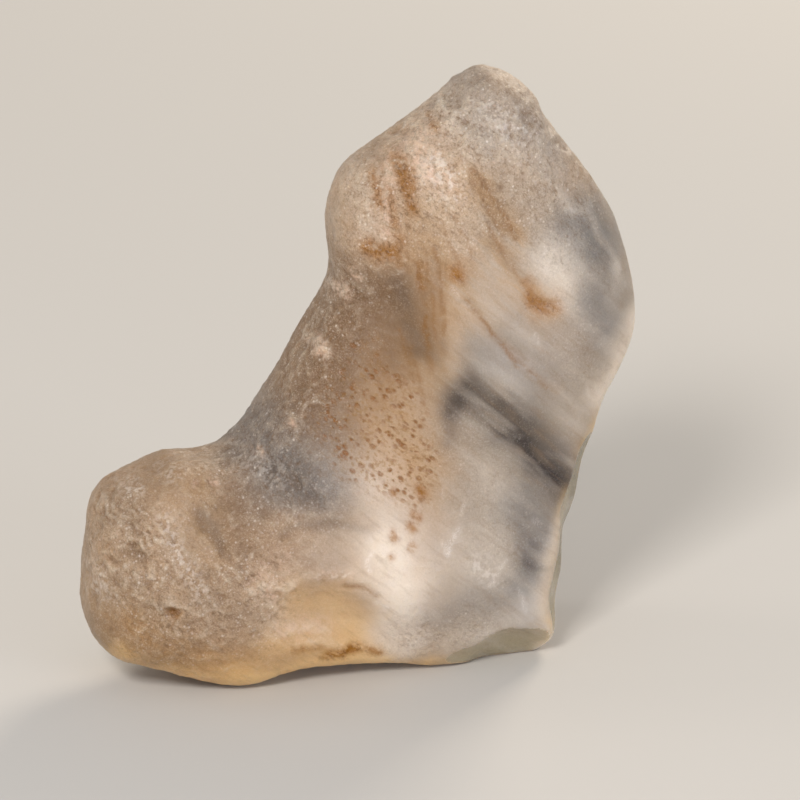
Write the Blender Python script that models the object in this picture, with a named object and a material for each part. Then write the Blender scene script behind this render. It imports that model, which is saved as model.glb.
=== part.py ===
"""A boot-shaped lump of Libyan desert glass, standing on its sole.

The stone is one piece of wind-worn natural glass. It is modelled the way it came to be: a slab
of the right outline is thinned towards its rim and worn round, then swelled, scooped and grooved
in named places, and last of all chipped and set down flat.

The frame: +X runs from the toe to the heel, -Y is the broad face that is shown, +Z is up, and
the origin is under the middle of the stone, on the surface that it stands on.
"""

import math

import bmesh
import bpy
import numpy as np
from mathutils import Vector, kdtree, noise

MM = 0.001

# The outline seen square on: (x, z) in mm, z from the surface that the stone stands on
CROWN = [(9.5, 52.5), (11.4, 53.6), (13.2, 52.7), (16.1, 50.6)]
SHOULDER = [(17.3, 47.8), (19.7, 44.5), (22.2, 40.9), (24.2, 36.3), (25.0, 31.2), (25.4, 28.3)]
WAIST = [(24.1, 25.3), (21.7, 21.8), (20.2, 16.8), (19.1, 11.3), (18.2, 5.9), (17.3, 1.9)]
HEEL = [(16.0, 0.1), (14.4, -0.7), (10.2, 0.0), (5.5, -0.5), (1.1, 0.6), (-4.2, 0.9)]
SOLE = [(-8.3, 0.6), (-11.7, -0.4), (-15.4, 0.5), (-19.7, 2.2), (-23.6, 3.0), (-25.2, 5.7)]
TOE = [(-25.0, 10.6), (-24.5, 15.0), (-22.9, 18.0), (-20.4, 19.0), (-17.5, 20.5), (-13.8, 19.9)]
INSTEP = [(-10.0, 22.1), (-7.2, 26.2), (-5.0, 30.8), (-2.3, 35.1), (-3.0, 40.6), (-1.7, 44.8)]
BROW = [(1.3, 46.8), (4.6, 48.7), (7.4, 50.7)]
OUTLINE = CROWN + SHOULDER + WAIST + HEEL + SOLE + TOE + INSTEP + BROW

# How far the front and the back stand from the middle plane: (x, z, front, back), all in mm
POSTS = {
    "crown": (11.5, 51.5, 4.6, 4.4),
    "head left": (0.0, 42.5, 6.2, 5.6),
    "head middle": (10.0, 42.0, 7.6, 6.8),
    "head right": (20.5, 38.0, 5.4, 5.6),
    "shoulder": (23.8, 29.0, 4.6, 5.0),
    "throat": (0.0, 32.0, 6.6, 6.2),
    "breast": (12.0, 31.0, 8.6, 7.4),
    "ridge": (7.0, 22.5, 9.6, 8.2),
    "calf": (17.0, 19.0, 7.8, 7.2),
    "left hollow": (-6.0, 18.5, 8.4, 7.6),
    "heel top": (14.5, 10.5, 8.4, 8.8),
    "heel": (13.0, 2.5, 8.8, 9.4),
    "arch": (3.5, 6.0, 9.8, 9.0),
    "foot": (-10.5, 9.5, 10.4, 7.6),
    "belly": (-11.0, 1.5, 9.6, 7.2),
    "toe": (-21.0, 10.0, 8.4, 5.6),
    "toe top": (-18.0, 18.0, 7.0, 5.6),
}
POST_REACH = 6.5
SLAB_HALF = 8.0
RIM_ROUND = 8.5
RIM_BLUNT = 0.34
SOLE_BLUNT = 0.66
SOLE_HEIGHT = 6.0

# Where the broad faces rise (+) or sink (-): (path of (x, z), half width, height), all in mm
FRONT = {
    "brow swell": ([(5.0, 44.0), (11.0, 47.5)], 8.0, 0.5),
    "ridge down the face": ([(8.5, 46.0), (6.5, 36.0), (6.2, 27.0)], 5.5, 0.7),
    "crease below the ridge": ([(9.0, 26.5), (7.6, 22.0), (6.4, 13.0)], 3.4, -0.5),
    "brown scoop": ([(-2.5, 34.0), (0.0, 26.0), (1.5, 17.5)], 9.5, -1.3),
    "right scoop": ([(15.5, 24.0), (12.5, 9.5)], 8.5, -1.1),
    "fold across the calf": ([(8.0, 28.0), (13.5, 23.0), (19.5, 17.0)], 4.0, 0.45),
    "cream edge": ([(22.5, 24.5), (18.8, 18.0), (16.6, 10.5), (16.0, 4.5)], 3.2, 0.5),
    "white bulge": ([(0.8, 15.5), (2.0, 6.5)], 6.0, 0.9),
    "heel corner": ([(8.5, 2.2), (16.0, 1.8)], 5.0, 1.5),
    "foot hollow": ([(-11.5, 6.6), (-5.0, 6.8), (-0.5, 4.2)], 4.4, -1.1),
    "lip over the foot hollow": ([(-14.5, 10.4), (-6.5, 11.2), (-1.0, 8.6)], 2.8, 0.5),
    "step under the head": ([(-1.0, 38.5), (-3.0, 33.5), (-6.0, 27.0)], 4.0, 0.4),
    "neck hollow": ([(-8.0, 22.0), (-15.5, 15.5)], 5.5, -0.9),
    "toe swell": ([(-19.5, 17.5), (-22.0, 8.0)], 5.5, 0.5),
    "toe furrow 1": ([(-23.0, 17.0), (-20.4, 12.2), (-19.6, 5.8)], 1.5, -0.4),
    "toe furrow 2": ([(-19.6, 18.6), (-17.2, 12.8), (-16.0, 6.6)], 1.6, -0.4),
    "toe furrow 3": ([(-16.4, 18.0), (-13.6, 12.6), (-12.0, 8.0)], 1.7, -0.35),
    "toe dimple": ([(-23.2, 13.6), (-22.0, 13.0)], 1.8, -0.7),
    "toe pit": ([(-19.9, 8.9), (-19.4, 8.7)], 1.3, -0.6),
    "shoulder bevel": ([(18.6, 44.5), (22.4, 38.0), (24.0, 30.0)], 4.2, -0.8),
    "rust dimple": ([(14.2, 34.0), (16.0, 33.0)], 2.4, -0.35),
}
BACK = {
    "long back scoop": ([(3.0, 38.0), (9.0, 29.0), (12.0, 20.0)], 8.5, -1.8),
    "back ridge": ([(17.0, 42.0), (19.5, 30.0), (17.0, 20.0), (8.0, 10.0)], 4.4, 0.9),
    "back crease": ([(-3.5, 30.0), (-1.0, 21.0), (-3.0, 12.0)], 3.6, -0.8),
    "back foot swell": ([(-14.0, 8.0), (-5.0, 10.0)], 6.0, 0.8),
    "back toe hollow": ([(-20.5, 13.0), (-18.0, 8.0)], 4.8, -0.9),
    "back crown hollow": ([(8.0, 47.5), (14.5, 43.0)], 4.8, -0.8),
    "back heel hollow": ([(14.0, 7.0), (7.0, 4.0)], 4.6, -0.9),
}
FACE_TURN = 2.2

# The paths wander as flow lines in the glass do: (size in mm, how far in mm, seed)
WANDER = [(9.0, 1.8, 5.0), (4.0, 0.6, 17.0)]
WANDER_SEED = 7
PATH_TAPER = 0.55

# Nicks that run right over the rim: (x, z, half width, depth), all in mm
NICKS = {
    "crown nick": (7.6, 51.6, 1.3, 0.7),
    "upper brow nick": (5.6, 49.9, 1.2, 0.3),
    "lower brow nick": (3.3, 48.4, 1.5, 0.5),
    "left brow nick": (0.9, 46.9, 1.3, 0.25),
    "right brow nick": (16.9, 48.9, 1.6, 0.6),
    "instep nick": (-5.0, 31.0, 1.8, 0.35),
    "neck nick": (-12.4, 21.3, 1.8, 0.5),
    "toe top nick": (-19.0, 20.4, 1.7, 0.4),
    "arch nick": (-0.3, 0.4, 2.0, 0.3),
}
NICK_DEPTH = 5.0

# Skin lumps: (size in mm, height in mm, seed); the front is polished smoother to the right
LUMPS = [(9.0, 0.45, 3.0), (3.6, 0.22, 11.0)]
POLISH_START_X = 2.0
POLISH_RUN = 9.0
POLISH_SHARE = 0.7

# Scars of flakes: (a point on the scar, the way the scar faces, radius of its hollow), in mm
SCARS = {
    "heel scar": ((11.6, -6.7, 1.8), (0.06, -0.77, -0.63), 18.0),
    "edge scar": ((17.3, -4.6, 10.6), (0.90, -0.41, -0.14), 32.0),
    "back toe scar": ((-18.6, 4.4, 4.6), (-0.45, 0.66, -0.60), 13.0),
    "back shoulder scar": ((23.2, 2.8, 34.0), (0.84, 0.50, 0.20), 24.0),
}
SCAR_RIPPLE = 0.7
SCAR_RIPPLE_SIZE = 4.0

BLANK_VOXEL = 0.8
BODY_VOXEL = 0.55
WEAR_PASSES = 26
FACE_WEAR_PASSES = 7
SKIN_WEAR_PASSES = 2
TRIANGLES = 9000
SOLE_SNAP = 0.12


def clear_scene():
    """Removes the objects that a new file starts with."""
    for thing in list(bpy.data.objects):
        bpy.data.objects.remove(thing, do_unlink=True)


def add_object(name, data):
    thing = bpy.data.objects.new(name, data)
    bpy.context.scene.collection.objects.link(thing)
    return thing


def outline_curve():
    """The outline as a closed curve that bends smoothly through its points, upright in XZ."""
    curve = bpy.data.curves.new("outline", "CURVE")
    curve.dimensions = "2D"
    curve.fill_mode = "BOTH"
    curve.extrude = SLAB_HALF * MM
    curve.resolution_u = 8
    spline = curve.splines.new("BEZIER")
    spline.bezier_points.add(len(OUTLINE) - 1)
    for point, (x, z) in zip(spline.bezier_points, OUTLINE, strict=True):
        point.co = (x * MM, z * MM, 0.0)
        point.handle_left_type = "AUTO"
        point.handle_right_type = "AUTO"
    spline.use_cyclic_u = True
    guide = add_object("outline", curve)
    guide.rotation_euler.x = math.radians(90)
    guide.hide_render = True
    guide.display_type = "WIRE"
    return guide


def baked(thing):
    """The mesh of an object as its modifiers leave it, in the stone's own frame."""
    bpy.context.view_layer.update()
    graph = bpy.context.evaluated_depsgraph_get()
    mesh = bpy.data.meshes.new_from_object(thing.evaluated_get(graph))
    mesh.transform(thing.matrix_world)
    return mesh


def modified(mesh, kind, **settings):
    """The mesh with one modifier applied."""
    helper = add_object("helper", mesh)
    modifier = helper.modifiers.new("shape", kind)
    for name, value in settings.items():
        setattr(modifier, name, value)
    result = baked(helper)
    bpy.data.objects.remove(helper, do_unlink=True)
    bpy.data.meshes.remove(mesh)
    return result


def remeshed(mesh, voxel):
    """The same shape in even quads, voxel millimetres wide."""
    return modified(mesh, "REMESH", mode="VOXEL", voxel_size=voxel * MM, adaptivity=0.0)


def points_of(mesh):
    """The vertices as an array, in millimetres."""
    flat = np.empty(len(mesh.vertices) * 3, np.float32)
    mesh.vertices.foreach_get("co", flat)
    return flat.reshape(-1, 3).astype(float) / MM


def normals_of(mesh):
    """The way each vertex faces: the mean of the faces around it, added up in a fixed order."""
    faces = np.empty(len(mesh.polygons) * 3, np.float32)
    mesh.polygons.foreach_get("normal", faces)
    sides = np.empty(len(mesh.polygons), np.int32)
    mesh.polygons.foreach_get("loop_total", sides)
    corners = np.empty(len(mesh.loops), np.int32)
    mesh.loops.foreach_get("vertex_index", corners)
    normals = np.zeros((len(mesh.vertices), 3))
    np.add.at(normals, corners, np.repeat(faces.reshape(-1, 3), sides, axis=0))
    return normals / np.linalg.norm(normals, axis=1, keepdims=True)


def move_points(mesh, points):
    """Puts the vertices at these places, given in millimetres."""
    mesh.vertices.foreach_set("co", (points * MM).astype(np.float32).ravel())
    mesh.update()


def rim_distance(points, slab):
    """How far each point is from the outline, seen square on."""
    wall = {(round(x, 3), round(z, 3)) for x, _, z in points_of(slab)}
    tree = kdtree.KDTree(len(wall))
    for number, (x, z) in enumerate(sorted(wall)):
        tree.insert((x, 0.0, z), number)
    tree.balance()
    return np.array([tree.find((x, 0.0, z))[2] for x, _, z in points])


def depth_fields(points):
    """The front and the back depth at each point, blended between the posts."""
    total = np.zeros(len(points))
    front = np.zeros(len(points))
    back = np.zeros(len(points))
    for x, z, post_front, post_back in POSTS.values():
        apart = np.hypot(points[:, 0] - x, points[:, 2] - z)
        weight = np.exp(-0.5 * (apart / POST_REACH) ** 2) + 1e-9
        total += weight
        front += weight * post_front
        back += weight * post_back
    return front / total, back / total


def thin_to_rim(mesh, slab):
    """Gives the slab its depth in each place, and draws it in towards its rim."""
    points = points_of(mesh)
    front, back = depth_fields(points)
    inwards = np.clip(rim_distance(points, slab) / RIM_ROUND, 0, 1)
    near_sole = np.clip(1 - points[:, 2] / SOLE_HEIGHT, 0, 1)
    blunt = RIM_BLUNT + (SOLE_BLUNT - RIM_BLUNT) * near_sole
    share = blunt + (1 - blunt) * np.sqrt(1 - (1 - inwards) ** 2)
    across = points[:, 1] / SLAB_HALF
    points[:, 1] = across * share * np.where(across < 0, front, back)
    move_points(mesh, points)


def wear(mesh, passes):
    """Rounds every edge a little, as blown sand does."""
    form = bmesh.new()
    form.from_mesh(mesh)
    for _ in range(passes):
        bmesh.ops.smooth_vert(
            form, verts=form.verts, factor=0.5, use_axis_x=True, use_axis_y=True, use_axis_z=True
        )
    form.to_mesh(mesh)
    form.free()


def wandered(points):
    """The places seen square on, each moved a little, so that straight paths come out wavy."""
    noise.seed_set(WANDER_SEED)
    places = points[:, [0, 2]].copy()
    for size, reach, seed in WANDER:
        shift = Vector((seed, seed, seed))
        sway = [noise.noise_vector(Vector(point) / size + shift) for point in points]
        places += reach * np.array(sway)[:, [0, 2]]
    return places


def along_path(places, path):
    """How far each place is from a path, and how far along the path it lies, from 0 to 1."""
    corners = np.array(path)
    legs = np.linalg.norm(np.diff(corners, axis=0), axis=1)
    nearest = np.full(len(places), np.inf)
    travel = np.zeros(len(places))
    for number, leg in enumerate(legs):
        start = corners[number]
        step = corners[number + 1] - start
        share = np.clip((places - start) @ step / leg**2, 0, 1)
        apart = np.linalg.norm(places - start - share[:, None] * step, axis=1)
        closer = apart < nearest
        nearest[closer] = apart[closer]
        travel[closer] = (legs[:number].sum() + share[closer] * leg) / legs.sum()
    return nearest, travel


def bump(distance, width):
    """1 in the middle, falling smoothly to 0 at the half width."""
    return np.clip(1 - (distance / width) ** 2, 0, 1) ** 2


def press_faces(mesh):
    """Swells, scoops and grooves on the two broad faces, each tapered to its ends."""
    points = points_of(mesh)
    places = wandered(points)
    facing = normals_of(mesh)[:, 1] * FACE_TURN
    for strokes, side in ((FRONT, -1), (BACK, 1)):
        turned = np.clip(facing * side, 0, 1)
        for path, width, height in strokes.values():
            nearest, travel = along_path(places, path)
            taper = 1 - PATH_TAPER * (2 * travel - 1) ** 2
            points[:, 1] += side * turned * height * taper * bump(nearest, width * taper)
    move_points(mesh, points)


def cut_nicks(mesh):
    """Small notches across the rim."""
    points = points_of(mesh)
    normals = normals_of(mesh)
    towards_front = bump(points[:, 1] + NICK_DEPTH / 2, NICK_DEPTH)
    for x, z, width, depth in NICKS.values():
        apart = np.hypot(points[:, 0] - x, points[:, 2] - z)
        points -= normals * (depth * towards_front * bump(apart, width))[:, None]
    move_points(mesh, points)


def roughen(mesh):
    """Soft lumps all over, lower where the sand has polished the right of the front."""
    points = points_of(mesh)
    normals = normals_of(mesh)
    front = np.clip(-normals[:, 1], 0, 1)
    right = np.clip((points[:, 0] - POLISH_START_X) / POLISH_RUN, 0, 1)
    strength = 1 - POLISH_SHARE * front * right
    for size, height, seed in LUMPS:
        shift = Vector((seed, seed, seed))
        rise = [noise.noise(Vector(point) / size + shift) for point in points]
        points += normals * (height * strength * np.array(rise))[:, None]
    move_points(mesh, points)


def scar_cutter(name, place, facing, radius):
    """A rippled ball that bites a shallow hollow out of the stone."""
    centre = Vector(place) + Vector(facing).normalized() * radius
    ball = bmesh.new()
    bmesh.ops.create_icosphere(ball, subdivisions=6, radius=radius)
    for vert in ball.verts:
        ripple = SCAR_RIPPLE * noise.noise((vert.co + centre) / SCAR_RIPPLE_SIZE)
        vert.co = (vert.co * (1 + ripple / radius) + centre) * MM
    mesh = bpy.data.meshes.new(name)
    ball.to_mesh(mesh)
    ball.free()
    cutter = add_object(name, mesh)
    cutter.hide_render = True
    cutter.display_type = "WIRE"
    return cutter


def struck(mesh):
    """The stone with its flakes knocked off."""
    for name, (place, facing, radius) in SCARS.items():
        cutter = scar_cutter(name, place, facing, radius)
        mesh = modified(mesh, "BOOLEAN", operation="DIFFERENCE", solver="EXACT", object=cutter)
    return mesh


def set_down(mesh):
    """Cuts the stone level with the surface that it stands on."""
    form = bmesh.new()
    form.from_mesh(mesh)
    for vert in form.verts:
        if abs(vert.co.z) < SOLE_SNAP * MM:
            vert.co.z = 0.0
    geometry = form.verts[:] + form.edges[:] + form.faces[:]
    bmesh.ops.bisect_plane(
        form, geom=geometry, dist=1e-7, plane_co=(0, 0, 0), plane_no=(0, 0, -1), clear_outer=True
    )
    rims = [edge for edge in form.edges if edge.is_boundary]
    bmesh.ops.holes_fill(form, edges=rims, sides=0)
    bmesh.ops.triangulate(form, faces=form.faces)
    bmesh.ops.recalc_face_normals(form, faces=form.faces)
    form.to_mesh(mesh)
    form.free()


def centre(mesh):
    """Moves the stone sideways, so that the middle of its box is over the origin."""
    points = points_of(mesh)
    middle = (points.min(axis=0) + points.max(axis=0)) / 2
    points[:, :2] -= middle[:2]
    move_points(mesh, points)


def glass_material():
    """Frosted natural glass, warm grey."""
    material = bpy.data.materials.new("frosted desert glass")
    material.use_nodes = True
    shader = material.node_tree.nodes["Principled BSDF"]
    shader.inputs["Base Color"].default_value = (0.45, 0.36, 0.28, 1.0)
    shader.inputs["Roughness"].default_value = 0.5
    shader.inputs["Metallic"].default_value = 0.0
    return material


def main():
    clear_scene()
    slab = baked(outline_curve())
    body = remeshed(slab.copy(), BLANK_VOXEL)
    thin_to_rim(body, slab)
    body = remeshed(body, BODY_VOXEL)
    wear(body, WEAR_PASSES)
    press_faces(body)
    wear(body, FACE_WEAR_PASSES)
    cut_nicks(body)
    roughen(body)
    wear(body, SKIN_WEAR_PASSES)
    body = struck(body)
    body = modified(body, "TRIANGULATE")
    body = modified(body, "DECIMATE", ratio=TRIANGLES / len(body.polygons))
    set_down(body)
    centre(body)
    body.materials.clear()
    body.materials.append(glass_material())
    stone = add_object("desert_glass", body)
    print("stone", len(stone.data.polygons), "triangles")


main()
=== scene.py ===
# %% [markdown]
# A lump of Libyan desert glass, standing on its sole.
#
# This natural glass was melted from desert sand and has lain in the wind ever since. Sand has
# frosted its skin, and inside it is cloudy: milky veils, smoky windows, honey coloured flow
# streaks and a few rusty stains. The lesson takes the plain solid of the stone, gives a copy of
# it the fine relief of the real skin, paints the clouds and stains in named places, and lights
# the stone so that it glows a little at its thin edges.

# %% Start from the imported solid
import math

import bmesh
import bpy
import numpy as np
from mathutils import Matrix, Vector, noise


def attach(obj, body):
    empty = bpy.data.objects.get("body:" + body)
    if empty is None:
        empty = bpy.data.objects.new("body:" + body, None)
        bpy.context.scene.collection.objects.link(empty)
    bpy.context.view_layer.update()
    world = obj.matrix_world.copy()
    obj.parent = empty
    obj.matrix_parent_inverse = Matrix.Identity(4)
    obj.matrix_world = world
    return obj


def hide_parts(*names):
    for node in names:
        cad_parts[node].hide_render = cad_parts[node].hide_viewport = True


MM = 0.001

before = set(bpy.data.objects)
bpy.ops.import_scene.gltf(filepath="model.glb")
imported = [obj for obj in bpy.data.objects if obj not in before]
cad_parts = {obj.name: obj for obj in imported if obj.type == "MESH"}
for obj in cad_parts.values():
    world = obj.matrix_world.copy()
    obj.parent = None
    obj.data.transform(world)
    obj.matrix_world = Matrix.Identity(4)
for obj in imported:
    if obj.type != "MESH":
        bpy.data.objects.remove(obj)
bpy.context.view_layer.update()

# %% [markdown]
# The solid has about nine thousand triangles, each about a millimetre wide. The skin of the
# real stone has ridges and pits narrower than that, so the copy needs a much finer mesh.
#
# A subdivision surface would shrink the stone and keep its uneven triangles. A voxel remesh
# gives even quads of any size, and a few rounds of smoothing then take away the old facets.

# %% Make a fine copy of the solid
SKIN_VOXEL = 0.27
SKIN_SMOOTHING = 9
SAME_POINT = 0.0005


def fine_copy(node, voxel, passes):
    """An evenly meshed, smoothed copy of a solid, under a name of its own."""
    form = bmesh.new()
    form.from_mesh(node.data)
    bmesh.ops.remove_doubles(form, verts=form.verts, dist=SAME_POINT * MM)
    mesh = bpy.data.meshes.new("desert_glass_skin")
    form.to_mesh(mesh)
    form.free()
    helper = bpy.data.objects.new("helper", mesh)
    bpy.context.scene.collection.objects.link(helper)
    remesh = helper.modifiers.new("even quads", "REMESH")
    remesh.mode = "VOXEL"
    remesh.voxel_size = voxel * MM
    remesh.adaptivity = 0.0
    bpy.context.view_layer.update()
    graph = bpy.context.evaluated_depsgraph_get()
    fine = bpy.data.meshes.new_from_object(helper.evaluated_get(graph))
    bpy.data.objects.remove(helper, do_unlink=True)
    form = bmesh.new()
    form.from_mesh(fine)
    for _ in range(passes):
        bmesh.ops.smooth_vert(
            form, verts=form.verts, factor=0.5, use_axis_x=True, use_axis_y=True, use_axis_z=True
        )
    form.to_mesh(fine)
    form.free()
    return fine


skin = fine_copy(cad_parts["desert_glass"], SKIN_VOXEL, SKIN_SMOOTHING)
print("fine copy", len(skin.vertices), "points,", 2 * len(skin.polygons), "triangles")

# %% [markdown]
# From here on the points of the skin are handled as one array in millimetres. Two helpers read
# and write it, and one reads the way each point faces.

# %% Read and move the points of the skin
def points_of(mesh):
    """The vertices as an array, in millimetres."""
    flat = np.empty(len(mesh.vertices) * 3, np.float32)
    mesh.vertices.foreach_get("co", flat)
    return flat.reshape(-1, 3).astype(float) / MM


def move_points(mesh, points):
    """Puts the vertices at these places, given in millimetres."""
    mesh.vertices.foreach_set("co", (points * MM).astype(np.float32).ravel())
    mesh.update()


def normals_of(mesh):
    """The way each vertex faces."""
    flat = np.empty(len(mesh.vertices) * 3, np.float32)
    mesh.vertices.foreach_get("normal", flat)
    return flat.reshape(-1, 3).astype(float)


points = points_of(skin)
print("skin box in mm", points.min(0).round(2), points.max(0).round(2))

# %% [markdown]
# Everything on the stone is placed by name: a mark is a path seen square on, as (x, z) in
# millimetres, with a half width and a strength. Straight paths would look drawn, so the places
# are swayed by noise before they are measured, as flow lines in the glass are.

# %% Measure how near each point is to a path
INSIDE_SWAY = (3.2, 0.8, 51.0)
noise.seed_set(11)


def noise_at(places, size, seed):
    """Smooth noise from about -1 to 1, with lumps of the given size in mm."""
    shift = Vector((seed, 2 * seed, 3 * seed))
    return np.array([noise.noise(Vector(place) / size + shift) for place in places])


def swayed(places, size, reach, seed):
    """The places seen square on, each moved by up to reach mm, with noise of a size in mm."""
    across = noise_at(places, size, seed)
    upward = noise_at(places, size, seed + 40.0)
    return places[:, [0, 2]] + reach * np.stack([across, upward], axis=1)


def distance_to(spots, path):
    """How far each spot is from a path of (x, z) points."""
    corners = np.array(path, float)
    nearest = np.full(len(spots), np.inf)
    for start, end in zip(corners[:-1], corners[1:], strict=True):
        step = end - start
        along = np.clip((spots - start) @ step / max(step @ step, 1e-9), 0, 1)
        apart = np.linalg.norm(spots - start - along[:, None] * step, axis=1)
        nearest = np.minimum(nearest, apart)
    return nearest


def marked(spots, marks):
    """How strongly the marks cover each spot, from 0 to 1. Each mark fades out to its side."""
    bare = np.ones(len(spots))
    for path, width, strength in marks.values():
        near = np.exp(-((distance_to(spots, path) / width) ** 2))
        bare *= 1 - np.clip(strength, 0, 1) * near
    return 1 - bare


first_sway = swayed(points[:1], *INSIDE_SWAY) - points[:1, [0, 2]]
print("first point swayed by", first_sway.round(2), "mm")

# %% [markdown]
# The marks are drawn on the front, so each point has to know how far it belongs there. The
# front fades into the back just behind the middle of the stone. Marks that lie in the skin fade
# sooner, where the skin turns away, or they would be drawn out into bands on the steep sides.

# %% Tell the front from the back
FRONT_FADE = (-3.1, 0.4)
FACE_ON_FADE = (-0.2, 0.4)


def smooth_step(value, low, high):
    """Rises gently from 0 at low to 1 at high."""
    part = np.clip((value - low) / (high - low), 0, 1)
    return part * part * (3 - 2 * part)


front = smooth_step(-points[:, 1], *FRONT_FADE)
back = 1 - front
face_on = front * smooth_step(-normals_of(skin)[:, 1], *FACE_ON_FADE)
print("front points", int((front > 0.5).sum()), "face on", int((face_on > 0.5).sum()))

# %% [markdown]
# Frost is where the sand has bitten deepest: on the crown, along the instep and on the toe.
# The right side is worn and has little of it, and so has the back. The same marks guide the
# relief and, later, the colour.

# %% Place the frost
FROST = {
    "crown": ([(6.0, 50.0), (13.0, 49.0)], 5.0, 1.0),
    "head": ([(1.0, 43.0), (12.0, 43.0), (18.0, 42.0)], 5.0, 0.8),
    "instep": ([(-2.0, 36.0), (-7.0, 25.0), (-13.0, 20.0)], 3.2, 0.9),
    "toe": ([(-22.0, 15.0), (-20.0, 8.0), (-14.0, 9.0)], 5.5, 0.9),
    "foot": ([(-12.0, 14.0), (-8.0, 18.0)], 4.0, 0.7),
    "heel": ([(3.0, 4.0), (8.0, 4.5)], 2.6, 0.6),
    "calf": ([(8.0, 22.0), (12.0, 10.0)], 4.0, 0.35),
    "shoulder": ([(20.0, 37.0), (19.0, 28.0)], 4.0, 0.35),
}
BACK_FROST = 0.5
BACK_EVEN_FROST = 0.15
BACK_WEAR = 0.7
WORN_TO_THE_RIGHT = (2.0, 9.0)
UNWORN_TOP = (38.0, 46.0)

bitten = marked(swayed(points, *INSIDE_SWAY), FROST) * (front + BACK_FROST * back)
bitten += BACK_EVEN_FROST * back
worn = smooth_step(points[:, 0], *WORN_TO_THE_RIGHT) * (front + BACK_WEAR * back)
worn *= 1 - smooth_step(points[:, 2], *UNWORN_TOP)
print("bitten", round(bitten.mean(), 2), "worn", round(worn.mean(), 2), "of the skin")

# %% [markdown]
# The flow streaks are thin grooves, the foot has two small ledges and low waves, and the toe a
# dimple and a few pits. A bump would vanish at the outline and cast no shadow, so these are
# real relief in the mesh. Each is a named path again, with a height in place of a strength.

# %% Raise the ridges and cut the grooves of the skin
RIDGES = {
    "tongue": ([(5.9, 34.0), (6.2, 30.0), (6.4, 27.6)], 0.80, 0.04),
    "ledge over the foot": ([(-8.8, 12.0), (-5.6, 11.3), (-3.2, 10.9), (-1.6, 9.6)], 0.8, 0.08),
    "second ledge": ([(-12.4, 10.4), (-10.2, 11.0), (-8.8, 10.6)], 0.6, 0.18),
    "crust on the head": ([(4.8, 48.5), (3.9, 47.1), (4.4, 45.4)], 1.2, 0.12),
    "drop": ([(-4.3, 30.6), (-4.5, 29.9)], 0.55, 0.18),
    "clot": ([(-2.6, 35.1), (-2.2, 34.9)], 0.45, 0.15),
    "low wave one": ([(-8.8, 6.0), (-6.7, 6.3), (-5.0, 5.1)], 0.5, 0.09),
    "low wave two": ([(-7.9, 4.4), (-5.8, 4.5), (-4.0, 3.7)], 0.5, 0.09),
    "rim of the dimple": ([(-23.5, 14.7), (-22.2, 15.1), (-20.8, 14.4)], 0.40, 0.12),
    "low rim of the dimple": ([(-23.0, 12.9), (-21.8, 12.4), (-20.6, 12.3)], 0.35, 0.10),
    "rim of the pit": ([(-19.8, 9.2), (-19.0, 9.7), (-18.2, 9.2)], 0.35, 0.12),
}
GROOVES = {
    "streak one": ([(8.6, 46.0), (9.8, 44.1), (10.9, 42.3), (12.2, 39.8)], 0.45, 0.16),
    "streak two": ([(8.2, 45.6), (9.2, 43.5), (10.1, 41.8), (11.2, 40.0)], 0.40, 0.10),
    "streak three": ([(9.5, 41.3), (10.6, 39.2), (11.7, 37.4)], 0.40, 0.10),
    "streak four": ([(7.6, 34.6), (9.7, 31.6), (12.6, 28.6)], 0.45, 0.10),
    "left of the tongue": ([(4.9, 39.5), (5.1, 35.0), (5.2, 29.0)], 0.40, 0.08),
    "beside the ridge": ([(3.4, 38.0), (3.9, 34.0), (4.1, 29.0)], 0.40, 0.08),
    "under the tongue": ([(5.9, 26.9), (6.9, 26.8)], 0.6, 0.10),
    "under the ledge": ([(-3.9, 10.1), (-2.5, 9.7), (-1.1, 8.9)], 0.35, 0.12),
    "wavy line": ([(-9.6, 14.8), (-7.1, 15.4), (-3.9, 15.6), (-1.5, 14.9)], 0.45, 0.12),
    "toe groove": ([(-16.1, 17.2), (-15.6, 15.9), (-14.6, 13.9)], 0.5, 0.25),
    "dimple": ([(-22.6, 13.9), (-21.6, 13.4)], 0.65, 0.34),
    "pit": ([(-19.1, 8.7), (-18.9, 8.6)], 0.38, 0.50),
    "toe pit one": ([(-14.6, 18.9), (-14.4, 18.8)], 0.30, 0.22),
    "toe pit two": ([(-16.1, 19.1), (-15.9, 19.0)], 0.30, 0.22),
    "toe pit three": ([(-14.8, 10.2), (-14.5, 10.0)], 0.30, 0.22),
    "rust pit": ([(2.6, 46.4), (2.8, 45.0), (3.1, 43.0)], 0.4, 0.12),
    "blotch pit": ([(14.3, 33.4), (15.6, 33.0)], 0.5, 0.12),
}
RELIEF_SWAY = (2.2, 0.5, 3.0)


def raised(spots, marks):
    """The height that the marks add at each spot, in mm."""
    height = np.zeros(len(spots))
    for path, width, rise in marks.values():
        height += rise * np.exp(-((distance_to(spots, path) / width) ** 2))
    return height


spots = swayed(points, *RELIEF_SWAY)
relief = front * (raised(spots, RIDGES) - raised(spots, GROOVES))
print("named relief from", relief.min().round(2), "to", relief.max().round(2), "mm")

# %% [markdown]
# The wrinkles of the toe are many and alike, so one wave draws them all: its crests are a bit
# over a millimetre apart and lean to the right on their way down. Crests are round and the
# valleys between them sharp. Noise bends them and breaks them off, or they would look combed.
# The same wave, finer and weaker, makes the slanting striations of the face.

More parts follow.
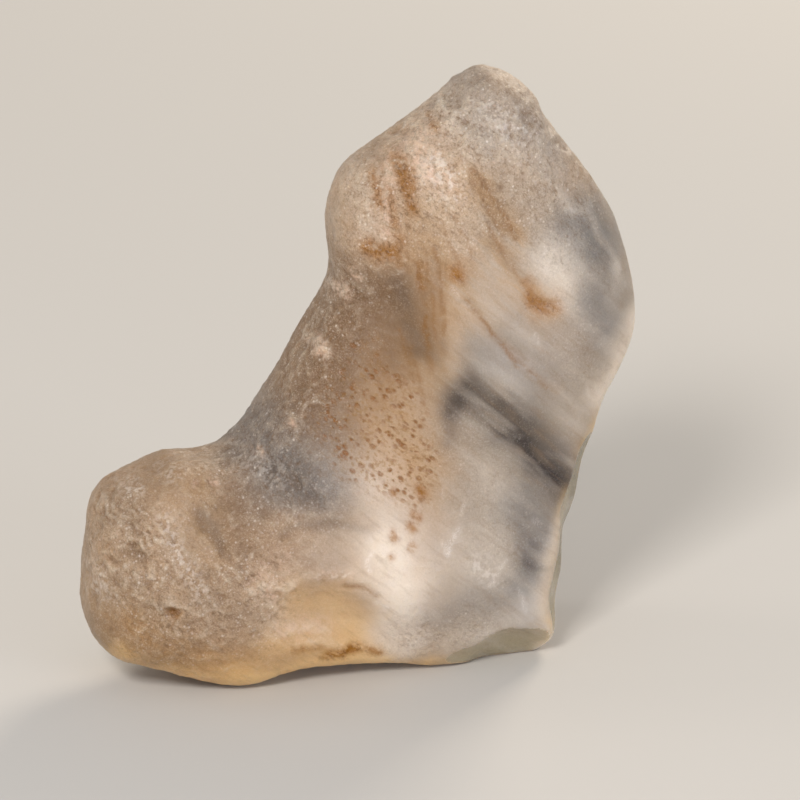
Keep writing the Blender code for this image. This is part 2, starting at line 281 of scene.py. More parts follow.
# %% Wrinkle the toe and comb the face
WRINKLE_HEIGHT = 0.18
STRIATION_HEIGHT = 0.04
WAVE_MEAN = 1.27
TOE_AREA = {
    "toe": ([(-22.5, 14.5), (-17.5, 14.5)], 4.2, 1.0),
    "foot": ([(-14.0, 11.0), (-11.0, 9.0)], 2.6, 0.5),
}
FACE_AREA = {
    "throat": ([(-3.0, 34.0), (-1.0, 26.0), (2.0, 20.0)], 5.0, 0.8),
    "head": ([(3.0, 44.0), (10.0, 41.0), (12.0, 33.0)], 5.0, 0.5),
    "neck": ([(-10.0, 16.0), (-6.0, 15.0)], 4.0, 0.6),
}


def wave(places, lean, spacing, bend, seed):
    """Crests that run down with a lean in degrees, spacing mm apart, bent by noise."""
    angle = math.radians(lean)
    across = places[:, 0] * math.cos(angle) + places[:, 2] * math.sin(angle)
    bent = across + bend * noise_at(places, 4.0, seed) + 0.3 * bend * noise_at(places, 1.3, seed)
    broken = smooth_step(noise_at(places, 2.6, seed + 9), -0.5, 0.25)
    return (2 * np.abs(np.sin(math.pi * bent / spacing)) - WAVE_MEAN) * broken


toe_area = marked(points[:, [0, 2]], TOE_AREA)
face_area = marked(points[:, [0, 2]], FACE_AREA)
toe_wave = wave(points, lean=30.0, spacing=1.15, bend=2.6, seed=21.0)
face_wave = wave(points, lean=58.0, spacing=1.1, bend=1.4, seed=33.0)
wrinkles = WRINKLE_HEIGHT * toe_area * front * toe_wave
striations = STRIATION_HEIGHT * face_area * face_wave
relief += wrinkles + front * striations
print("wrinkles up to", np.abs(wrinkles).max().round(2), "mm")

# %% [markdown]
# Blown sand leaves shallow dents and small pits all over the frosted parts. They are scattered
# with a fixed seed, so that the stone is the same each time, and they are kept off the right of
# the front, which is worn smooth. Between the dents stand small sharp crests: noise folded at
# zero has such crests, plain noise has not.

# %% Scatter dents and crumple the frosted parts
DENTS = 700
DENT_DEPTH = 0.2
LEFT_OUT = 0.8
COARSE_GRAIN = (0.12, 1.9)
FINE_GRAIN = (0.15, 0.8)
dice = np.random.default_rng(29)


def crumpled(places, size, seed):
    """Noise with sharp crests, from about -0.5 to 0.5."""
    return 0.5 - 2 * np.abs(noise_at(places, size, seed))


def scattered_dents(points, count):
    """How deep round dents of many sizes go at each point, each with a faint raised rim."""
    depth = np.zeros(len(points))
    for number in dice.integers(0, len(points), count):
        centre = points[number]
        radius = 0.3 + 0.7 * dice.random() ** 3
        on_worn_side = centre[0] > 4 and centre[1] < 0 and centre[2] < 40
        if on_worn_side and dice.random() < LEFT_OUT:
            continue
        near = np.abs(points - centre).max(axis=1) < 2.2 * radius
        apart = np.linalg.norm(points[near] - centre, axis=1) / radius
        bowl = np.exp(-(apart**2)) - 0.35 * np.exp(-((apart - 1.35) ** 2) / 0.08)
        depth[near] += DENT_DEPTH * radius * bowl
    return depth


dents = scattered_dents(points, DENTS)
grain = COARSE_GRAIN[0] * crumpled(points, COARSE_GRAIN[1], 5.0)
grain += FINE_GRAIN[0] * crumpled(points, FINE_GRAIN[1], 8.0)
roughened = (0.25 + 0.75 * bitten) * (1 - 0.8 * worn)
relief += roughened * (grain - dents)
print("dents up to", dents.max().round(2), "mm deep")

# %% [markdown]
# The flat worn places of the sole carry the stone, so the relief fades out just above them and
# nothing goes below the surface that it stands on.

# %% Move the skin
FOOTHOLD_FADE = (0.05, 0.9)

foothold = smooth_step(points[:, 2], *FOOTHOLD_FADE)
points += normals_of(skin) * (relief * foothold)[:, None]
points[:, 2] = np.maximum(points[:, 2], 0.0)
move_points(skin, points)
print("lowest point", points[:, 2].min().round(3), "mm")

# %% [markdown]
# Four flakes have been knocked off. Each scar is a shallow hollow left by a big rippled ball.
# The solid has them already, but the smoothing softened their edges. A boolean cut would do,
# and pressing the points out of each ball does the same faster on a mesh as fine as this.
# The balls and their ripple are those of the solid, so they are moved as the solid was when
# its middle was put on the origin.

# %% Sharpen the flake scars
SCARS = {
    "heel scar": ((11.6, -6.7, 1.8), (0.06, -0.77, -0.63), 18.0),
    "edge scar": ((17.3, -4.6, 10.6), (0.90, -0.41, -0.14), 32.0),
    "back toe scar": ((-18.6, 4.4, 4.6), (-0.45, 0.66, -0.60), 13.0),
    "back shoulder scar": ((23.2, 2.8, 34.0), (0.84, 0.50, 0.20), 24.0),
}
SCARS_MOVED = np.array((0.05, 0.59, 0.0))
SCAR_RIPPLE = 0.7
SCAR_RIPPLE_SIZE = 4.0
SCAR_BITE = 0.10
SCAR_EDGE = 0.05


def pressed_out(points, place, facing, radius):
    """The points with those inside a rippled ball moved out to it, and how far each moved."""
    direction = np.array(facing) / np.linalg.norm(facing)
    first_centre = np.array(place) + direction * radius
    centre = first_centre + SCARS_MOVED
    arms = points - centre
    lengths = np.linalg.norm(arms, axis=1)
    near = lengths < radius + 2
    moved = np.zeros(len(points))
    for number in np.flatnonzero(near):
        arm = arms[number] / lengths[number]
        on_ball = Vector(first_centre + arm * radius)
        ripple = SCAR_RIPPLE * noise.noise(on_ball / SCAR_RIPPLE_SIZE)
        reach = radius + ripple + SCAR_BITE
        if lengths[number] < reach:
            moved[number] = reach - lengths[number]
            points[number] = centre + arm * reach
    return moved


scar = np.zeros(len(points))
for name, (place, facing, radius) in SCARS.items():
    moved = pressed_out(points, place, facing, radius)
    scar = np.maximum(scar, smooth_step(moved, 0.0, SCAR_EDGE))
    print(name, int((moved > 0).sum()), "points")
points[:, 2] = np.maximum(points[:, 2], 0.0)
move_points(skin, points)

# %% [markdown]
# Colour comes next. Real glass of this kind is clear glass with clouds in it, so the colours
# are kept apart by cause: milk is the white veil of tiny bubbles, with painted glow on a few
# edges, haze the grey of thinner glass and smoke the dark bands, both partly painted shade of
# the dark seen through the glass, umber the deep brown of the throat, and amber is painted glow,
# the light through the thin edges. They lie inside the stone and show on both sides.
#
# One image of the stone could hold all this, but a painted image would not follow the relief
# and could not be changed by name. Named marks stored as attributes of the mesh can.

# %% Place the clouds, the painted glow and the painted shade inside the stone
# Most milk marks are white veils. The right rim, the low right edge, the heel corner and the left of
# the crown are painted glow, light on those edges painted as a pale colour.
MILK_AND_GLOW = {
    "white bulge": ([(-0.3, 13.1), (0.2, 10.7), (1.8, 8.2)], 2.8, 1.0),
    "white bulge low": ([(0.8, 8.2), (1.5, 4.2)], 2.4, 0.65),
    "cloud under the head": ([(15.6, 37.5), (16.9, 34.8)], 2.1, 0.8),
    "cloud tail": ([(8.8, 34.9), (11.7, 32.0), (16.5, 29.1)], 2.6, 0.15),
    "right rim": ([(24.7, 29.6), (23.2, 26.7), (21.1, 23.4)], 1.5, 0.8),
    "right edge low": ([(17.8, 13.5), (16.0, 11.5), (15.2, 7.5), (14.8, 3.2)], 1.1, 0.45),
    "crown veil": ([(8.5, 48.0), (12.0, 48.0), (15.5, 45.0)], 3.0, 0.35),
    "veil over the foot": ([(-6.1, 13.3), (-3.4, 13.5), (-0.8, 14.5)], 1.5, 0.2),
    "shoulder gap": ([(22.6, 35.0), (22.4, 33.2)], 1.0, 0.3),
    "veil middle": ([(-1.4, 18.6), (0.1, 16.2)], 2.4, 0.45),
    "instep rim": ([(-3.5, 36.5), (-6.5, 30.5), (-10.5, 25.0)], 1.3, 0.3),
    "tongue": ([(6.0, 31.8), (6.4, 27.6)], 0.9, 0.12),
    "shoulder line": ([(17.1, 43.0), (20.5, 39.2), (23.2, 34.7)], 0.5, 0.4),
    "calf cloud": ([(9.4, 17.9), (10.4, 13.1)], 2.4, 0.25),
    "low cloud": ([(4.7, 11.4), (8.3, 9.8)], 2.2, 0.35),
    "heel pale": ([(6.0, 2.8), (10.6, 4.3), (13.4, 5.2)], 1.6, 0.35),
    "heel corner": ([(15.0, 0.6), (15.9, 1.8)], 0.9, 0.6),
    "crown left": ([(7.0, 49.6), (9.2, 51.0)], 1.6, 0.4),
    "bulge low": ([(0.4, 6.0), (1.9, 3.2)], 1.8, 0.5),
    "head middle": ([(5.0, 44.5), (7.6, 41.0)], 2.2, 0.35),
    "head left": ([(-0.5, 45.0), (-0.8, 40.8)], 2.2, 0.35),
    "foot middle": ([(-11.0, 9.0), (-9.6, 7.0)], 1.6, 0.2),
}
# The smoke marks are partly smoky glass and partly painted shade: the dark seen through the clear
# glass is painted as colour, and the wavy line and the toe groove get painted shade along their
# hollows.
SMOKE_AND_SHADE = {
    "streak beside the ridge": ([(1.9, 36.4), (2.9, 33.3), (3.4, 30.5)], 1.1, 0.45),
    "patch under the tongue": ([(6.9, 26.7), (6.6, 25.0)], 1.3, 0.7),
    "below the patch": ([(6.3, 24.6), (5.9, 22.0)], 1.2, 0.4),
    "start of the band": ([(6.8, 26.6), (8.1, 25.8), (10.7, 23.7)], 1.6, 0.7),
    "band across the calf": ([(11.6, 22.2), (14.9, 18.3), (18.4, 14.4)], 2.1, 1.0),
    "above the band": ([(11.0, 24.5), (16.6, 19.6)], 1.5, 0.5),
    "patch under the band": ([(13.0, 13.3), (14.0, 10.8)], 1.9, 0.5),
    "hair line to the edge": ([(13.4, 9.8), (15.7, 8.5)], 0.45, 0.6),
    "lilac window shade": ([(-9.4, 20.4), (-8.0, 19.3), (-7.0, 18.9)], 2.1, 0.45),
    "wavy line": ([(-9.6, 14.8), (-7.1, 15.4), (-3.9, 15.6), (-1.5, 14.9)], 0.35, 0.25),
    "toe groove": ([(-16.1, 17.2), (-15.6, 15.9), (-14.6, 13.9)], 0.6, 0.4),
    "shoulder top": ([(20.3, 39.3), (21.2, 37.2)], 1.3, 0.45),
    "shoulder low": ([(20.1, 33.3), (20.8, 30.4)], 1.5, 0.15),
    "heel scar shade": ([(11.1, 2.3), (14.0, 1.6)], 0.9, 0.25),
}
UMBER = {
    "throat": ([(-1.7, 35.6), (-1.9, 32.0), (-3.3, 27.0), (-5.2, 24.1)], 3.2, 0.9),
    "green window": ([(1.1, 34.9), (1.3, 28.9)], 1.9, 0.75),
    "crown": ([(8.5, 53.0), (12.0, 51.5)], 1.2, 0.45),
    "toe top": ([(-22.5, 18.0), (-19.5, 19.5), (-16.0, 20.0)], 1.5, 0.35),
    "instep": ([(-4.1, 31.1), (-5.8, 28.0), (-7.2, 24.8)], 1.7, 0.6),
    "shin": ([(-7.6, 24.4), (-9.7, 20.4), (-11.9, 17.3)], 1.8, 0.5),
    "neck low": ([(-12.0, 17.4), (-13.1, 15.7), (-12.8, 13.9)], 2.0, 0.6),
    "ridge stain": ([(4.3, 35.9), (4.7, 30.6)], 1.4, 0.5),
    "belly left": ([(-24.2, 5.6), (-18.8, 3.5)], 2.0, 0.45),
    "foot": ([(-9.3, 13.1), (-7.0, 12.4), (-5.0, 11.6)], 1.5, 0.4),
    "foot low": ([(-12.5, 7.5), (-8.5, 5.0), (-6.0, 4.0)], 2.0, 0.25),
    "breast": ([(12.7, 32.4), (16.6, 31.6)], 1.6, 0.2),
    "breast right": ([(15.0, 28.9), (19.1, 28.6)], 1.8, 0.35),
    "calf middle": ([(7.9, 21.8), (8.8, 16.1)], 1.6, 0.15),
    "right of the band": ([(20.0, 20.5), (18.6, 16.0)], 1.6, 0.5),
    "edge scar": ([(19.2, 15.5), (18.4, 11.0), (17.9, 7.0)], 1.1, 0.75),
}
# The amber marks are painted glow: the light that comes through the thin edges and the sole, painted
# as a pale warm colour. The foot marks also carry the tan of the hollow above the sole.
PAINTED_AMBER_GLOW = {
    "belly": ([(-23.5, 4.1), (-18.4, 1.7), (-13.7, 0.9)], 1.3, 0.7),
    "sole": ([(-13.4, 1.1), (-7.4, 1.6), (-2.7, 2.0), (2.1, 0.8)], 1.5, 1.0),
    "edge of the sole": ([(-12.0, 0.3), (-2.0, 0.6), (4.0, 0.2)], 0.9, 1.0),
    "foot hollow": ([(-8.3, 8.7), (-5.1, 8.2), (-2.0, 5.8)], 2.0, 0.5),
    "foot low": ([(-9.8, 5.1), (-5.0, 4.7), (-1.1, 3.9)], 1.8, 0.45),
    "heel": ([(4.0, 0.5), (14.0, 0.4)], 0.9, 0.6),
    "heel corner": ([(15.7, 3.1), (15.7, 1.0)], 0.9, 0.5),
    "right rim": ([(24.7, 29.3), (23.0, 26.2), (21.4, 23.3), (20.0, 19.0)], 1.1, 0.6),
    "right edge": ([(17.6, 15.0), (15.9, 10.0), (15.2, 4.0)], 0.8, 0.3),
}
# The haze marks are partly grey glass and partly painted shade, the dark seen through the clear
# windows painted as a grey colour.
HAZE_AND_SHADE = {
    "lilac window": ([(-9.6, 21.2), (-7.9, 19.2), (-6.0, 19.0)], 3.0, 0.85),
    "lilac upward": ([(-8.3, 23.8), (-7.5, 21.7)], 2.0, 0.3),
    "shoulder high": ([(18.1, 39.8), (20.9, 37.3)], 2.5, 0.9),
    "shoulder low": ([(20.0, 32.6), (21.2, 30.4)], 2.4, 0.7),
    "crown": ([(9.6, 52.0), (10.0, 49.4)], 2.0, 0.5),
    "crown right": ([(13.7, 50.1), (16.2, 46.1)], 2.2, 0.45),
    "low band": ([(3.7, 6.5), (8.4, 7.4), (13.0, 5.9)], 2.2, 0.5),
    "low band left": ([(2.5, 2.6), (4.5, 5.1)], 1.7, 0.3),
    "calf": ([(12.7, 15.4), (14.6, 12.3), (13.9, 8.8)], 2.2, 0.7),
    "calf low": ([(12.5, 7.3), (13.1, 4.5)], 1.6, 0.5),
    "breast": ([(10.7, 30.0), (14.5, 26.3)], 2.6, 0.45),
    "right of the tongue": ([(7.8, 30.2), (9.3, 27.5)], 1.6, 0.35),
    "above the wavy line": ([(-4.7, 22.8), (-4.7, 19.7)], 2.0, 0.2),
}
inside = swayed(points, *INSIDE_SWAY)
print("clouds:", sum(len(marks) for marks in (MILK_AND_GLOW, SMOKE_AND_SHADE, UMBER, PAINTED_AMBER_GLOW, HAZE_AND_SHADE)), "marks")

# %% [markdown]
# Iron has stained the glass along its flow: wide honey coloured glows inside it, and on them
# narrow strands where the skin has opened along the flow. The honey on the belly is painted
# glow of light through the sole, and one strand is a painted shadow under the ledge. The skin
# also has short white scratches, and patches of painted glints where its grains catch the light.

# %% Place the honey streaks, the strands and the scratches
HONEY = {
    "streak one": ([(8.2, 45.9), (9.7, 43.8), (11.4, 41.4), (12.3, 38.9)], 1.1, 0.55),
    "streak three": ([(9.2, 39.9), (10.1, 38.2), (11.0, 36.2)], 0.9, 0.4),
    "streak four": ([(7.6, 34.6), (9.7, 31.6), (12.6, 28.6), (15.7, 25.3)], 0.9, 0.4),
    "glow of the blotch": ([(12.9, 35.4), (14.2, 33.6), (15.9, 33.0)], 1.4, 0.9),
    "stain of the ridge": ([(6.0, 43.1), (5.3, 36.8), (4.4, 30.4)], 3.4, 0.6),
    "stain of the spots": ([(-1.6, 27.0), (0.8, 23.0), (2.6, 19.5)], 3.6, 0.5),
    "stain under the head": ([(9.5, 38.4), (12.7, 34.3)], 3.0, 0.35),
    "toe": ([(-16.2, 19.7), (-15.4, 14.6)], 3.0, 0.35),
    # The two belly marks paint the warm glow of light coming through the sole.
    "belly": ([(-22.2, 6.8), (-17.7, 3.2), (-13.2, 2.1)], 2.8, 0.8),
    "belly right": ([(-13.3, 2.5), (-7.9, 3.6), (-2.2, 4.0)], 2.0, 0.5),
}
STAINS = {
    "strand one": ([(1.3, 46.3), (1.0, 44.8), (1.1, 42.8), (1.6, 40.6)], 0.2, 0.6),
    "strand two": ([(2.3, 40.0), (2.6, 38.6), (2.8, 37.3)], 0.2, 0.6),
    "strand three": ([(3.2, 38.6), (3.6, 36.6), (4.0, 34.4), (4.2, 31.7)], 0.2, 0.7),
    "strand four": ([(3.9, 39.5), (4.3, 37.0), (4.6, 34.6), (4.9, 31.4)], 0.18, 0.6),
    "strand five": ([(4.8, 39.7), (5.2, 37.0), (5.4, 34.2), (5.5, 32.0)], 0.2, 0.6),
    "strand six": ([(4.0, 32.3), (4.3, 30.4), (4.6, 28.3)], 0.2, 0.5),
    "strand seven": ([(2.0, 32.1), (2.5, 30.1), (3.0, 27.5)], 0.2, 0.5),
    "strand eight": ([(0.0, 30.1), (0.8, 27.9), (1.7, 25.4)], 0.22, 0.5),
    "strand nine": ([(2.8, 30.7), (3.5, 27.9), (4.0, 25.3)], 0.2, 0.5),
    "strand ten": ([(-1.1, 30.9), (-0.2, 28.3), (0.5, 25.8)], 0.22, 0.4),
    "honey left": ([(8.2, 45.6), (9.2, 43.5), (10.1, 41.8), (11.2, 40.0)], 0.26, 0.55),
    "honey right": ([(8.6, 46.0), (9.8, 44.1), (10.9, 42.3), (12.2, 39.8)], 0.30, 0.65),
    "honey low": ([(9.5, 41.3), (10.6, 39.2), (11.7, 37.4)], 0.2, 0.6),
    "honey lowest": ([(10.9, 38.6), (12.1, 36.6), (13.0, 35.1)], 0.18, 0.5),
    "hair one": ([(7.6, 34.6), (8.7, 33.1), (9.8, 31.6)], 0.18, 0.7),
    "hair two": ([(9.6, 32.0), (11.1, 29.9), (12.2, 28.2)], 0.22, 0.7),
    "hair three": ([(11.3, 29.7), (13.0, 27.9), (15.1, 25.8)], 0.18, 0.5),
    "hair four": ([(6.6, 42.4), (7.4, 40.2), (8.4, 38.1)], 0.16, 0.5),
    "hair five": ([(5.5, 41.9), (6.3, 39.5), (6.9, 37.8)], 0.16, 0.5),
    "pit": ([(-19.1, 8.8), (-18.8, 8.5)], 0.33, 0.5),
    "toe pit one": ([(-14.6, 18.9), (-14.4, 18.8)], 0.2, 0.6),
    "toe pit two": ([(-16.1, 19.1), (-15.9, 19.0)], 0.2, 0.6),
    "toe pit three": ([(-14.8, 10.2), (-14.5, 10.0)], 0.2, 0.5),
    # A painted shadow under the ledge over the foot, in the colour of the strands.
    "under the ledge": ([(-3.9, 10.1), (-2.5, 9.7), (-1.1, 8.9)], 0.25, 0.5),
    "heart of the blotch": ([(14.3, 33.8), (14.7, 33.4)], 0.28, 0.9),
    "heart of the spot": ([(6.6, 37.4), (6.9, 37.0)], 0.25, 0.9),
}
# The sparkle marks are painted glints, where the frost grains catch the light.
SPARKLE = {
    "crown": ([(11.0, 50.4), (13.4, 48.1)], 1.4, 0.35),
    "head": ([(5.6, 46.4), (6.6, 44.4)], 1.0, 0.5),
    "toe top left": ([(-21.9, 18.5), (-20.9, 19.0)], 0.5, 0.5),
    "toe top": ([(-18.3, 19.7), (-17.1, 20.1)], 0.5, 0.35),
    "toe left": ([(-24.8, 12.0), (-24.6, 9.6)], 0.8, 0.4),
    "toe middle": ([(-19.3, 16.6), (-18.3, 13.6), (-16.5, 10.4)], 0.7, 0.4),
    "ledge": ([(-6.0, 11.2), (-3.6, 11.1)], 0.4, 0.3),
    "instep": ([(-11.6, 21.2), (-9.4, 19.6)], 1.4, 0.3),
    "calf": ([(8.3, 10.4), (9.8, 8.9)], 0.8, 0.3),
}
SCRATCHES = {
    "one": ([(7.3, 16.3), (7.0, 15.3)], 0.2, 0.9),
    "two": ([(6.7, 13.9), (5.8, 13.0), (5.4, 12.0)], 0.3, 0.8),
    "three": ([(4.9, 13.2), (5.4, 12.0)], 0.2, 0.7),
    "four": ([(11.2, 10.2), (10.4, 9.1)], 0.2, 0.9),
    "five": ([(10.0, 8.9), (9.4, 8.2)], 0.25, 0.8),
    "six": ([(12.5, 7.5), (12.9, 6.3), (13.0, 5.2)], 0.18, 0.8),
    "seven": ([(-1.5, 12.8), (-1.9, 12.1), (-1.7, 11.2)], 0.18, 0.9),
    "eight": ([(-1.2, 8.2), (-0.1, 7.8)], 0.16, 0.7),
    "nine": ([(13.9, 31.0), (14.4, 29.5)], 0.16, 0.6),
    "ten": ([(5.3, 18.0), (5.3, 16.9)], 0.15, 0.6),
    "eleven": ([(13.9, 13.4), (14.7, 12.7)], 0.35, 0.6),
    "twelve": ([(6.3, 36.0), (6.7, 35.1)], 0.25, 0.8),
    "thirteen": ([(11.5, 49.3), (11.6, 48.5)], 0.35, 0.6),
    "fourteen": ([(17.2, 42.5), (18.3, 40.7)], 0.2, 0.6),
    "fifteen": ([(19.2, 25.2), (19.7, 23.9)], 0.16, 0.5),
}
print("honey:", len(HONEY), "marks,", len(STAINS), "strands,", len(SCRATCHES), "scratches")

# %% [markdown]
# Rust, the swarm of ochre spots and the pale crust of old soil lie on the front skin. Their
# edges are sharper than those of the clouds, so their places are swayed less.

# %% Place the rust, the spotted patch and the pale crust
RUST = {
    "head streak": ([(2.6, 46.4), (2.8, 45.0), (3.1, 43.0)], 0.6, 1.0),
    "head streak right": ([(3.5, 45.8), (3.6, 44.3)], 0.35, 0.8),
    "high streak": ([(6.3, 49.7), (6.0, 49.1)], 0.4, 0.8),
    "dotted streak": ([(0.4, 45.6), (0.4, 44.5), (0.5, 43.0)], 0.35, 0.8),
    "dotted streak two": ([(1.5, 44.3), (1.6, 42.5), (2.0, 40.2)], 0.35, 0.7),
    "head patch": ([(-0.6, 39.6), (0.2, 39.0), (1.2, 39.1)], 0.75, 1.0),
    "spot": ([(6.5, 37.4), (6.9, 37.0)], 0.7, 0.95),
    "blotch": ([(13.5, 34.1), (14.5, 33.2)], 0.75, 1.0),
    "blotch right": ([(14.5, 33.4), (15.9, 33.0)], 0.75, 0.8),
    "blotch top": ([(13.2, 35.6), (13.7, 34.5)], 0.5, 0.5),
    "low dot one": ([(0.6, 17.9), (0.7, 17.8)], 0.4, 0.9),
    "low dot two": ([(3.1, 18.0), (3.5, 17.5)], 0.55, 0.95),
    "low dot three": ([(2.6, 15.8), (3.0, 15.5)], 0.4, 0.9),
    "low dot four": ([(2.0, 14.9), (2.3, 14.5)], 0.42, 0.8),
    "low dot five": ([(0.4, 14.3), (0.6, 14.1)], 0.42, 0.8),
    "low dot six": ([(2.0, 13.3), (2.2, 13.1)], 0.35, 0.7),
    "low dot seven": ([(0.1, 12.5), (0.2, 12.4)], 0.3, 0.7),
    "sole stain": ([(-5.3, 3.0), (-3.7, 3.0), (-2.9, 3.5)], 0.6, 1.0),
    "sole stain right": ([(-2.9, 3.5), (-0.3, 2.6)], 0.4, 0.8),
    "sole stain left": ([(-8.3, 4.1), (-6.0, 4.1)], 0.35, 0.5),
    "strand rust": ([(3.6, 38.1), (3.9, 36.1)], 0.3, 0.5),
    "left of the strands": ([(1.7, 39.5), (2.1, 38.0)], 0.35, 0.5),
    "pit": ([(-19.2, 8.7), (-18.8, 8.5)], 0.55, 0.6),
}
SPOTTED = {
    "top": ([(-2.1, 30.1), (-0.6, 26.6)], 3.0, 0.55),
    "middle": ([(-1.1, 25.1), (0.9, 21.4)], 3.2, 1.0),
    "right": ([(1.8, 25.5), (3.0, 19.4)], 1.7, 0.9),
    "left": ([(-3.7, 24.1), (-2.5, 21.6)], 2.4, 0.7),
    "low": ([(0.6, 19.9), (2.9, 17.1)], 1.5, 0.6),
    "head": ([(0.0, 43.9), (1.7, 40.9)], 2.4, 0.35),
    "sole": ([(-7.9, 3.8), (-2.9, 2.5)], 1.3, 0.2),
}
CRUST = {
    "head patch": ([(4.8, 48.5), (3.9, 47.1), (4.4, 46.0)], 1.4, 0.85),
    "head patch low": ([(5.0, 45.9), (6.2, 44.9)], 0.9, 0.6),
    "head left": ([(2.1, 46.4), (1.1, 44.0), (1.2, 40.9)], 0.8, 0.7),
    "bead one": ([(-1.6, 37.4), (-1.5, 37.4)], 0.36, 1.0),
    "bead two": ([(-1.3, 36.8), (-1.2, 36.7)], 0.28, 1.0),
    "clot": ([(-2.6, 35.0), (-2.2, 35.0)], 0.55, 1.0),
    "drop": ([(-4.3, 30.5), (-4.5, 30.0)], 0.55, 1.0),
    "bead three": ([(-7.4, 23.9), (-7.4, 23.8)], 0.3, 1.0),
    "bead four": ([(-10.1, 21.3), (-10.0, 21.2)], 0.36, 0.9),
    "bead five": ([(-14.3, 19.0), (-14.2, 18.9)], 0.42, 1.0),
    "bead six": ([(-16.0, 19.1), (-16.0, 19.0)], 0.3, 0.9),
    "foot": ([(-6.6, 11.4), (-3.4, 11.2)], 0.6, 0.3),
    "foot low": ([(-9.2, 6.1), (-6.0, 6.2)], 1.1, 0.4),
    "foot left": ([(-11.8, 11.8), (-9.5, 13.0)], 1.0, 0.45),
    "chip": ([(-10.9, 10.3), (-10.2, 9.8)], 0.5, 0.6),
}
SKIN_SWAY = (1.4, 0.25, 77.0)
on_skin = swayed(points, *SKIN_SWAY)
print("rust, spots and crust:", len(RUST) + len(SPOTTED) + len(CRUST), "marks")

# %% [markdown]
# Each kind of mark becomes one number per point of the mesh, which the material reads by name.
# The clouds go through to the back a little weaker, what lies on the skin stays on the front.
# The height of the relief is stored too, so that hollows can be painted darker, as painted shade,
# and crests paler, as a painted highlight.

# %% Store the marks on the mesh
CLOUDS_AT_THE_BACK = 0.85
HEIGHT_SPAN = 0.6


def store(mesh, name, values):
    """Keeps one number from 0 to 1 for each point of the mesh, under a name."""
    attribute = mesh.attributes.new(name, "FLOAT", "POINT")
    attribute.data.foreach_set("value", np.clip(values, 0, 1).astype(np.float32))


through = front + CLOUDS_AT_THE_BACK * back
clouds_glow_and_shade = {"milk_and_glow": MILK_AND_GLOW, "smoke_and_shade": SMOKE_AND_SHADE, "haze_and_shade": HAZE_AND_SHADE, "umber": UMBER, "painted_amber_glow": PAINTED_AMBER_GLOW, "honey": HONEY}
for name, marks in clouds_glow_and_shade.items():
    store(skin, name, marked(inside, marks) * through)
in_the_skin = {"stain": STAINS, "scratched": SCRATCHES, "rust": RUST, "spotted": SPOTTED}
in_the_skin |= {"crust": CRUST, "sparkle": SPARKLE}
for name, marks in in_the_skin.items():
    store(skin, name, marked(on_skin, marks) * face_on)
store(skin, "height", 0.5 + relief * foothold / HEIGHT_SPAN)
store(skin, "worn", worn)
store(skin, "frost", bitten * (1 - scar))
store(skin, "scar", scar)
print("stored", [a.name for a in skin.attributes if a.data_type == "FLOAT"])

# %% [markdown]
# The material is natural silica glass with a sand blasted skin. The clouds make it glow from
# inside, which is subsurface scattering, and a share of the light passes straight on, which is
# transmission with a little brown absorption in the volume. The frost spreads both.
#
# A ready glass shader would be clear and hard. The colours are layered one by one instead, each
# through the mark of its cause: first the body, then the clouds in it, last what is on the skin.

# %% Two helpers for the material
def linear(hex_code):
    """A colour from the web notation of sRGB, as the linear numbers that Blender needs."""
    parts = [int(hex_code[i : i + 2], 16) / 255 for i in (0, 2, 4)]
    return [p / 12.92 if p <= 0.04045 else ((p + 0.055) / 1.055) ** 2.4 for p in parts] + [1.0]


def add_node(tree, kind, inputs=None, **settings):
    """Adds a node. Each input is a value, or another node's output to link."""
    node = tree.nodes.new("ShaderNode" + kind)
    for name, value in settings.items():
        setattr(node, name, value)
    for name, value in (inputs or {}).items():
        if isinstance(value, bpy.types.NodeSocket):
            tree.links.new(value, node.inputs[name])
        else:
            node.inputs[name].default_value = value
    return node


print("milk colour", [round(part, 3) for part in linear("dccfc0")])

# %% [markdown]
# The textures are scaled in real millimetres. Most follow the stone's own axes. The threads of
# the flow, 0.5 mm wide and 3 mm long, and the grains that flowed with them lean down to the
# right, so they have axes of their own, turned and stretched.

# %% Start the material
FLOW_LEAN = math.radians(-42)

# It gives the eye a cloudy, waxy body with a frosted skin that has small sharp glints, partly
# painted into its colour.
glass = bpy.data.materials.new("natural silica glass, sand frosted")
glass.use_nodes = True
tree = glass.node_tree
tree.nodes.clear()
place = add_node(tree, "TexCoord").outputs["Object"]
in_mm = add_node(tree, "Mapping", {"Vector": place, "Scale": (1000, 1000, 1000)}).outputs[0]
slant = add_node(tree, "Mapping", {"Vector": in_mm, "Rotation": (0, FLOW_LEAN, 0)}).outputs[0]
threads = add_node(tree, "Mapping", {"Vector": slant, "Scale": (0.3, 0.8, 2.0)}).outputs[0]
grains = add_node(tree, "Mapping", {"Vector": slant, "Scale": (0.8, 1.0, 1.3)}).outputs[0]


def share(value, low, high):
    """Stretches a value so that low becomes 0 and high becomes 1, and clamps it."""
    inputs = {"Value": value, "From Min": low, "From Max": high}
    return add_node(tree, "MapRange", inputs, clamp=True).outputs[0]


def times(first, second):
    return add_node(tree, "Math", {0: first, 1: second}, operation="MULTIPLY").outputs[0]


def mark(name):
    return add_node(tree, "Attribute", attribute_name=name).outputs["Fac"]


def noise_node(vector, size, detail, **more):
    """A noise texture with lumps of the given size in mm."""
    inputs = {"Vector": vector, "Scale": 1 / size, "Detail": detail, **more}
    return add_node(tree, "TexNoise", inputs).outputs[0]


